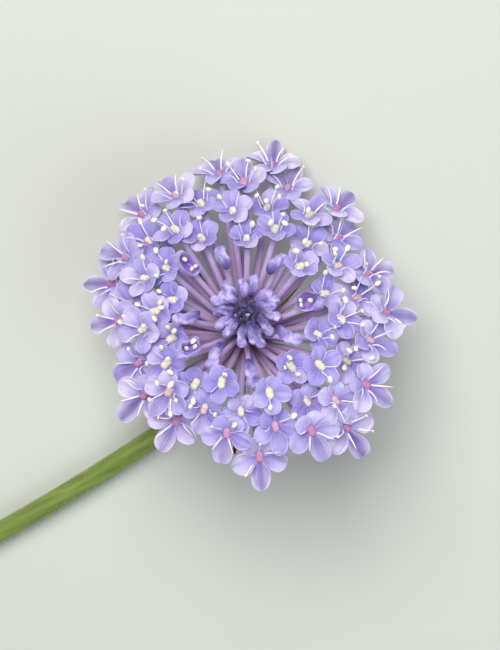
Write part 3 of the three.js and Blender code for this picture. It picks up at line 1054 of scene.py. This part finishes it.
def model_bud(seed):
    """A folded, crumpled bud in mm, its tip along +Z."""
    bud = draw_out("bud", BUD_ROWS, BUD_SIDES)
    note_ridges(bud)
    edit_mode()
    press_creases(CREASE_DEPTH)
    bpy.ops.transform.edge_crease(value=CREASE_EDGE)
    crumple_and_smooth(bud, (CRUMPLE, FOLD, WRINKLE), seed)
    return bud


buds = [model_bud(seed) for seed in range(1, BUD_VERSIONS + 1)]
print("bud faces:", len(buds[0].data.polygons), "versions:", len(buds))

# %% [markdown]
# ## The buds in their places
#
# Six loose buds lie among the rays with their tips towards the middle, sixteen make the knot,
# and eight fill its heart. The rule is again the solids' own. Their violet darkens towards the
# tips as painted shade, where the petals' ends crowd together. The finish also paints a
# highlight on the backs of the folded petals and on their lumps, and shade in the creases. The
# heart buds' own deep indigo is darkened further as painted shade of the hollow that they fill,
# and a few of them carry a pale painted glint near the tip.

# %% Place the buds
BUD_RAY_ROOT = Vector((0, 0, 3))
BUD_RAY_GAP = 0.4
BUD_RAY_WIDTH = 0.85
BUD_SEAT = 0.5
# Each kind of bud has a length, a radius and a lean towards the middle.
LOOSE_BUD = (4.1, 1.288, math.radians(68))
KNOT_BUD = (3.6, 1.008, math.radians(57))
HEART_BUD = (2.8, 0.675, math.radians(12))
LOOSE_BUD_SHIFT = 1.6
KNOT_SPREAD = 0.15
KNOT_TURN = math.radians(14)
KNOT_HEIGHT = 11
KNOT_HEIGHT_SWAY = 0.5
HEART_HEIGHT = 9.2
HEART_RISE = 0.1
FIRST_CLOSED_BUD = 61
SPECKED = 0.3
HOLLOW_VIOLET = (142, 114, 194)
PAINTED_GLINT = (190, 182, 214)
LUMP_HEIGHTS = (0.35, 0.65, -0.25, 0.15)
RIDGE_HIGHLIGHT_SHARE = (0.0, 0.8)
TIP_SHARE = (0.5, 0.95, 0.0, 0.95)
SPECK_SHARE = (0.84, 0.9)
BUD_RELIEF = (0.7, 0.5)


def bud_place(number):
    """The foot and axis of one bud, and its size against the model's."""
    place = Floret(number)
    foot = place.centre.copy()
    if number >= FIRST_HEART_BUD:
        length, radius, lean = HEART_BUD
        foot.z = HEART_HEIGHT + HEART_RISE * (number - FIRST_HEART_BUD)
    elif number >= FIRST_KNOT_BUD:
        length, radius, lean = KNOT_BUD
        foot.z = KNOT_HEIGHT + KNOT_HEIGHT_SWAY * sway(number, 3)
        foot += place.radial * KNOT_SPREAD
    else:
        length, radius, lean = LOOSE_BUD
        foot += place.radial * LOOSE_BUD_SHIFT
    if number >= FIRST_KNOT_BUD:
        lean += KNOT_TURN * place.radial.y
    axis = UP * math.cos(lean) - place.radial * math.sin(lean)
    return foot, axis, (radius / BUD_RADIUS, radius / BUD_RADIUS, length / BUD_LENGTH)


def bud_finish(name, light, body, tip):
    """Violet folded petals: painted highlight on ridges and lumps, painted shade in creases, another
    violet to the tip, a violet hollow and a few pale painted glints.
    """
    material, tree = new_finish(name, roughness=0.5, sheen_weight=0.3)
    lumps = speckle(tree, 900, 2)
    along = carried(tree, "along")
    uneven = span(tree, lumps, *LUMP_HEIGHTS)
    height = math_of(tree, "ADD", carried(tree, "ridge"), uneven)
    # Painted light on the folds: the first colour is a painted highlight on ridges and lumps, the
    # second painted shade in the creases.
    skin = mix(tree, span(tree, height, *RIDGE_HIGHLIGHT_SHARE), body, light)
    # Painted shade towards the tips of closed buds; on opening buds this colour is their pale rim.
    shaded = mix(tree, span(tree, along, *TIP_SHARE), skin, tip)
    hollow = mix(tree, carried(tree, "inside"), shaded, HOLLOW_VIOLET)
    # A few heart buds get a pale painted glint near the tip.
    speck = math_of(tree, "MULTIPLY", span(tree, along, *SPECK_SHARE), carried(tree, "speck"))
    return coat(material, mix(tree, speck, hollow, PAINTED_GLINT), lumps, *BUD_RELIEF)


closed = []
heart = []
stalks = []
for number in range(FIRST_BUD, FLORETS):
    foot, axis, size = bud_place(number)
    stalk = foot + axis * BUD_SEAT - BUD_RAY_ROOT
    start = BUD_RAY_ROOT + stalk.normalized() * BUD_RAY_GAP
    thickness = min(BUD_RAY_WIDTH, size[0])
    ray_size = (thickness, thickness, stalk.length - BUD_RAY_GAP)
    stalks.append((ray, put(start, axes(stalk, axis), ray_size), {}))
    if number < FIRST_CLOSED_BUD:
        continue
    version = buds[int(draw(number, 120) * BUD_VERSIONS)]
    turning = axes(axis, UP) @ Matrix.Rotation(FULL_TURN * draw(number, 121), 3, "Z")
    in_heart = number >= FIRST_HEART_BUD
    speck = in_heart and draw(number, 122) < SPECKED
    row = heart if in_heart else closed
    row.append((version, put(foot, turning, size), {"speck": speck}))

# Painted highlight on the folds, painted shade in the creases, painted shade at the tip.
bud_violet = bud_finish("bud_violet", (214, 200, 254), (78, 56, 156), (46, 28, 120))
finish_piece(set_out("closed_buds", closed), bud_violet, "buds")
# The heart buds' own deep indigo is darkened further as painted shade of the hollow that they fill.
heart_indigo = bud_finish("bud_indigo", (94, 74, 172), (52, 36, 124), (34, 22, 96))
finish_piece(set_out("heart_buds", heart), heart_indigo, "buds")
finish_piece(set_out("bud_rays", stalks), ray_mauve, "buds")

# %% [markdown]
# ## The opening buds
#
# Three buds have just burst. Their petals stand up round the stamens like the sides of a boat,
# pale outside and dark violet inside, and cream anthers show at the rim. Such a bud is a pouch
# that is still open: the circle is drawn up its outer wall, over the rim and down inside. Between
# each two petals the rim is then drawn down, and the whole is crumpled and subdivided as the
# closed buds were and squeezed from its sides.

# %% Model the opening bud
OPENING_ROWS = [
    (-0.25, 0.36), (-0.05, 0.75), (0.40, 1.15), (1.10, 1.50), (1.90, 1.70), (2.60, 1.72),
    (3.20, 1.55), (2.60, 1.42), (1.90, 1.30), (1.20, 1.00), (0.90, 0.40),
]
INNER_RADIUS = 1.45
INNER_FOOT = 0.6
# Each notch has a lowest and a highest point and a depth.
NOTCHES = [(2.2, 2.8, 0.9), (2.8, 3.4, 1.4)]
OPENING_CREASE = 0.74
OPENING_CRUMPLE = 0.42
RIM_EDGE = 0.7


def is_inside(place):
    """Whether a point lies on the inner wall of the pouch."""
    return math.hypot(place.x, place.y) < INNER_RADIUS and place.z > INNER_FOOT


def model_opening_bud(seed):
    """An open, folded pouch in mm, its rim towards +Z."""
    bud = draw_out("opening_bud", OPENING_ROWS, BUD_SIDES)
    note_ridges(bud)
    note(bud, "inside", [is_inside(point.co) for point in bud.data.vertices])
    edit_mode()
    press_creases(OPENING_CREASE)
    pick(lambda x, y, z: z > NOTCHES[-1][0])
    bpy.ops.transform.edge_crease(value=RIM_EDGE)
    for low, high, depth in NOTCHES:
        pick(lambda x, y, z: low < z < high and in_fold(x, y))
        move(0, 0, -depth)
    crumple_and_smooth(bud, (OPENING_CRUMPLE, FOLD, WRINKLE), seed)
    return bud


opening_buds = [model_opening_bud(seed) for seed in range(FIRST_BUD, FIRST_CLOSED_BUD)]
print("opening bud faces:", len(opening_buds[0].data.polygons))

# %% Place the opening buds
OPENING_LEAN = math.radians(30)
OPENING_SQUEEZE = Matrix.Diagonal((0.95, 1.65, 1.2))
OPENING_ANTHERS = (0, 2, 3)
ANTHER_RISE = 2.1
ANTHER_STEP = Vector((0, 0.6, 0))
ANTHER_LEAN = math.radians(50)
YOUNG_ANTHER = [side * 0.85 for side in ANTHER_SIZE]

folded = []
sacs = []
for number, opening_bud in zip(range(FIRST_BUD, FIRST_CLOSED_BUD), opening_buds):
    foot = bud_place(number)[0]
    radial = Floret(number).radial
    axis = UP * math.cos(OPENING_LEAN) - radial * math.sin(OPENING_LEAN)
    facing = axes(axis, radial)
    squeezed = facing @ OPENING_SQUEEZE
    folded.append((opening_bud, put(foot, squeezed), {}))
    for k in OPENING_ANTHERS:
        at = foot + axis * (ANTHER_RISE + draw(number, 140 + k))
        at += squeezed @ Matrix.Rotation(k * SECTOR, 3, "Z") @ ANTHER_STEP
        lay = facing @ Matrix.Rotation(ANTHER_LEAN * sway(number, 145 + k), 3, "X")
        sacs.append((anther, put(at, lay, YOUNG_ANTHER), {}))

bud_opening = bud_finish("bud_opening", (214, 202, 254), (84, 62, 158), (176, 160, 236))
finish_piece(set_out("opening_petals", folded), bud_opening, "buds")
finish_piece(set_out("opening_anthers", sacs), anther_cream, "buds")
put_away(*petals, *buds, *opening_buds, ray, *filaments_by_bow, anther)

# %% [markdown]
# ## The stem
#
# The stem is round and solid, widens where it carries the head, bends down to the table and runs
# along it to the cut end. It follows the solids' own line of two curves in a row, which a Bezier
# curve with three points repeats exactly. Turned into a mesh, it gets closed ends, and its top
# ring is widened with proportional editing, which carries the points below along a little.

# %% Model the stem
STEM_RADIUS = 1.75
STEM_TOP = 2.5
STEM_TOP_RADIUS = 2.6
STEM_FLARE_LENGTH = 5
STEM_TOUCHDOWN = Vector((11.6, 18.6))
STEM_HEADING = math.radians(36)
STEM_END = Vector((82, 60))
STEM_END_HEADING = math.radians(27)
STEM_BEND_HANDLE = 8.5
STEM_RUN_HANDLE = 28
STEM_STEPS = 48
STEM_ROUNDNESS = 5


def on_table(offset):
    """A point of the stem's line where it lies on the table."""
    return Vector((HUB.x + offset.x, HUB.y + offset.y, STEM_RADIUS))


def heading(angle):
    """A level direction."""
    return Vector((math.cos(angle), math.sin(angle), 0))


down = Vector((0, math.sin(HEAD_LEAN), -math.cos(HEAD_LEAN)))
top = HUB + down * STEM_TOP
cut_end = on_table(STEM_END)
end_heading = heading(STEM_END_HEADING)
# Each point of the line has a place, a direction and the lengths of its two handles.
STEM_POINTS = [
    (top, down, 0, STEM_BEND_HANDLE),
    (on_table(STEM_TOUCHDOWN), heading(STEM_HEADING), STEM_BEND_HANDLE, STEM_RUN_HANDLE),
    (cut_end, end_heading, STEM_RUN_HANDLE, 0),
]


def pick_across(place, direction):
    """Selects the points that lie straight across the stem at a place on its line."""
    pick(lambda x, y, z: abs((Vector((x, y, z)) - place * MM).dot(direction)) < NEAR * MM)


def model_stem():
    """The stem as a mesh, from the curve that it grows along."""
    start_fresh()
    bpy.ops.curve.primitive_bezier_curve_add()
    curve = bpy.context.object.data
    line = curve.splines[0]
    line.bezier_points.add(len(STEM_POINTS) - len(line.bezier_points))
    for point, (place, direction, before, after) in zip(line.bezier_points, STEM_POINTS):
        point.handle_left_type = point.handle_right_type = "FREE"
        point.co = place * MM
        point.handle_left = (place - direction * before) * MM
        point.handle_right = (place + direction * after) * MM
    curve.resolution_u = STEM_STEPS
    curve.bevel_depth = STEM_RADIUS * MM
    curve.bevel_resolution = STEM_ROUNDNESS
    curve.use_fill_caps = True
    bpy.ops.object.convert(target="MESH")
    stem = bpy.context.object
    stem.name = "stem_skin"
    edit_mode()
    pick_all()
    bpy.ops.mesh.remove_doubles(threshold=NEAR * MM)
    bpy.ops.mesh.normals_make_consistent(inside=False)
    pick_across(top, down)
    bpy.ops.transform.resize(
        value=[STEM_TOP_RADIUS / STEM_RADIUS] * 3,
        center_override=top * MM,
        use_proportional_edit=True,
        proportional_edit_falloff="SHARP",
        proportional_size=STEM_FLARE_LENGTH * MM,
    )
    object_mode()
    return stem


stem = model_stem()
print("stem faces:", len(stem.data.polygons))

# %% [markdown]
# ## The stem's finish
#
# The skin of the stem is a fresh yellow green, with faint streaks along it and a paler bloom of
# fine hairs. The cut end shows pale, wet pith inside a green rim, which is pressed in a little.
# The streaks are noise that is stretched along the stem: a Mapping node turns the pattern to the
# way the stem lies.

# %% Make the stem's finish and its cut end
PITH_RIM = 0.3
PITH_DEPTH = 0.2
STREAK_STRETCH = 14
STEM_GREENS = {0.3: (84, 108, 24), 0.5: (100, 126, 34), 0.72: (120, 146, 52)}
STEM_OLIVE = (112, 112, 54)
OLIVE_SHARE = (0.4, 0.7, 0.0, 0.35)
STEM_RELIEF = (0.4, 0.15)
PITH_GREENS = {0.1: (196, 206, 150), 0.6: (222, 226, 186)}
PITH_RELIEF = (0.3, 0.1)


def stem_finish():
    """Yellow green skin with streaks along the stem."""
    material, tree = new_finish("stem_green", roughness=0.5, sheen_weight=0.3)
    inputs = {
        "Vector": own_place(tree),
        "Rotation": (0, 0, STEM_END_HEADING),
        "Scale": (STREAK_STRETCH, 1, 1),
    }
    lengthwise = add_node(tree, "ShaderNodeMapping", inputs, vector_type="TEXTURE")
    streaks = speckle(tree, 1600, place=lengthwise.outputs["Vector"])
    patches = span(tree, speckle(tree, 60, 2), *OLIVE_SHARE)
    colour = mix(tree, patches, ramp(tree, streaks, STEM_GREENS), STEM_OLIVE)
    return coat(material, colour, streaks, *STEM_RELIEF)


def pith_finish():
    """Pale moist pith of fine cells."""
    material, tree = new_finish("pith_pale", roughness=0.35)
    inputs = {"Vector": own_place(tree), "Scale": 2500}
    cells = add_node(tree, "ShaderNodeTexVoronoi", inputs).outputs["Distance"]
    return coat(material, ramp(tree, cells, PITH_GREENS), cells, *PITH_RELIEF)


stem_green = stem_finish()
stem.data.materials.clear()
stem.data.materials.append(stem_green)
stem.data.materials.append(pith_finish())
take_up(stem)
edit_mode()
pick_across(cut_end, end_heading)
bpy.ops.mesh.inset(thickness=PITH_RIM * MM)
move(*(-end_heading * PITH_DEPTH * MM))
stem.active_material_index = 1
bpy.ops.object.material_slot_assign()
object_mode()
hand_over(stem, "stem")
print("pith faces:", sum(face.material_index == 1 for face in stem.data.polygons))

# %% [markdown]
# ## Stem hairs
#
# Seen against the light, the stem has a fuzzy edge of short hairs. They are real little spikes
# of four faces each, because hair curves would be lost if the flower were exported. Seeded draws
# spread them along the stem and round it, and none grows down into the table.

# %% Grow the stem hairs
HAIRS = 1500
HAIR_RADIUS = 0.03
HAIR_LENGTHS = (0.5, 1.3)
HAIR_LEAN = 0.35
HAIR_ROOT = 0.05
HAIR_GREENS = {0.0: (168, 190, 120), 0.6: (226, 232, 206)}


def stem_line():
    """Points in mm along the middle of the stem."""
    line = []
    for (start, out, _, after), (end, into, before, _) in zip(STEM_POINTS, STEM_POINTS[1:]):
        line += interpolate_bezier(start, start + out * after, end - into * before, end, STEM_STEPS)
    return line


def model_hair():
    """A spike one long, from the origin along +Z."""
    start_fresh()
    bpy.ops.mesh.primitive_cone_add(vertices=3, radius1=HAIR_RADIUS, depth=1, location=(0, 0, 0.5))
    bpy.ops.object.transform_apply(location=True)
    note_height(bpy.context.object)
    return bpy.context.object


hair = model_hair()
line = stem_line()
grown = []
for number in range(HAIRS):
    place = draw(number, 200) * (len(line) - 2)
    step = int(place)
    along = line[step + 1] - line[step]
    if along.length < NEAR:
        continue
    point = line[step].lerp(line[step + 1], place - step)
    across = along.cross(UP).normalized()
    turn = FULL_TURN * draw(number, 201)
    out = across * math.cos(turn) + across.cross(along.normalized()) * math.sin(turn)
    lean = (out + along.normalized() * HAIR_LEAN * sway(number, 202)).normalized()
    length = draw_within(HAIR_LENGTHS, number, 203)
    if (point + out * STEM_RADIUS + lean * length).z < TABLE_CLEARANCE:
        continue
    root = point + out * (STEM_RADIUS - HAIR_ROOT)
    grown.append((hair, put(root, axes(lean, along), (1, 1, length), in_metres), {}))
hair_pale = lengthwise_finish("hair_pale", HAIR_GREENS, 0.5)
finish_piece(set_out("stem_hairs", grown), hair_pale, "stem")
put_away(hair)
print("hairs:", len(grown))

# %% [markdown]
# ## Bracts
#
# Under the head a ring of narrow leaflets, the bracts, spreads out below the rays and arches up
# at the ends. They are green with a reddish tip, and a few tips peep out between the florets.
# Like a petal, a bract starts as a grid and gets its width row by row. Its middle column is
# pressed down to a keel.

# %% Model and place the bracts
BRACTS = 10
BRACT_LENGTH = 16
BRACT_WIDTH = 1.5
BRACT_ROOT = 1.8
BRACT_HEIGHT = -1.7
BRACT_RISE = 2.6
BRACT_THICKNESS = 0.22
BRACT_SWAY = 0.2
BRACT_LENGTH_SWAY = 0.12
KEEL_DROP = 0.12
EDGE_LIFT = 0.05
BRACT_WIDTHS = [1.0, 0.92, 0.95, 0.98, 0.94, 0.84, 0.68, 0.48, 0.26, 0.06]
COLLAR_ROWS = [(-2.6, 2.5), (-2.2, 2.6), (-1.7, 2.75), (-1.2, 2.65), (-0.8, 2.5)]
BRACT_COLOURS = {0.0: (120, 140, 66), 0.5: (128, 126, 62), 0.78: (146, 66, 48), 1.0: (120, 40, 40)}
BRACT_UNEVENNESS = (0.3, 0.7, -0.12, 0.12)
BRACT_RELIEF = (0.3, 0.1)


def model_bract():
    """A bract one wide and one long, which arches up along +Y."""
    rows = len(BRACT_WIDTHS) - 1
    bract = add_sheet(4, rows)
    pick(lambda x, y, z: abs(x) < NEAR)
    move(0, 0, -KEEL_DROP)
    pick(lambda x, y, z: abs(x) > 0.5 - NEAR)
    move(0, 0, EDGE_LIFT)
    for row, width in enumerate(BRACT_WIDTHS):
        pick(lambda x, y, z: abs(y * rows - row) < NEAR)
        stretch(width, 1, 1)
        move(0, 0, (row / rows) ** 2)
    object_mode()
    return bract


def bract_finish():
    """Green leaflet that turns dull red to its tip."""
    material, tree = new_finish("bract_green", roughness=0.55)
    uneven = span(tree, speckle(tree, 800), *BRACT_UNEVENNESS)
    height = math_of(tree, "ADD", on_sheet(tree)[2], uneven)
    colour = ramp(tree, height, BRACT_COLOURS)
    return coat(material, colour, speckle(tree, 2500), *BRACT_RELIEF)


bract = model_bract()
ring = []
for k in range(BRACTS):
    radial = heading((k + 0.5 + BRACT_SWAY * sway(k, 70)) * FULL_TURN / BRACTS)
    length = BRACT_LENGTH * (1 + BRACT_LENGTH_SWAY * sway(k, 71))
    at = radial * BRACT_ROOT + UP * BRACT_HEIGHT
    ring.append((bract, put(at, axes(UP, radial), (BRACT_WIDTH, length, BRACT_RISE)), {}))
leaflets = set_out("bract_leaflets", ring)
thicken(leaflets, BRACT_THICKNESS)
finish_piece(leaflets, bract_finish(), "bracts")
cuff = draw_out("cuff", COLLAR_ROWS, 24)
collar = set_out("bract_collar", [(cuff, head_place, {})])
finish_piece(collar, stem_green, "bracts")
put_away(bract, cuff)
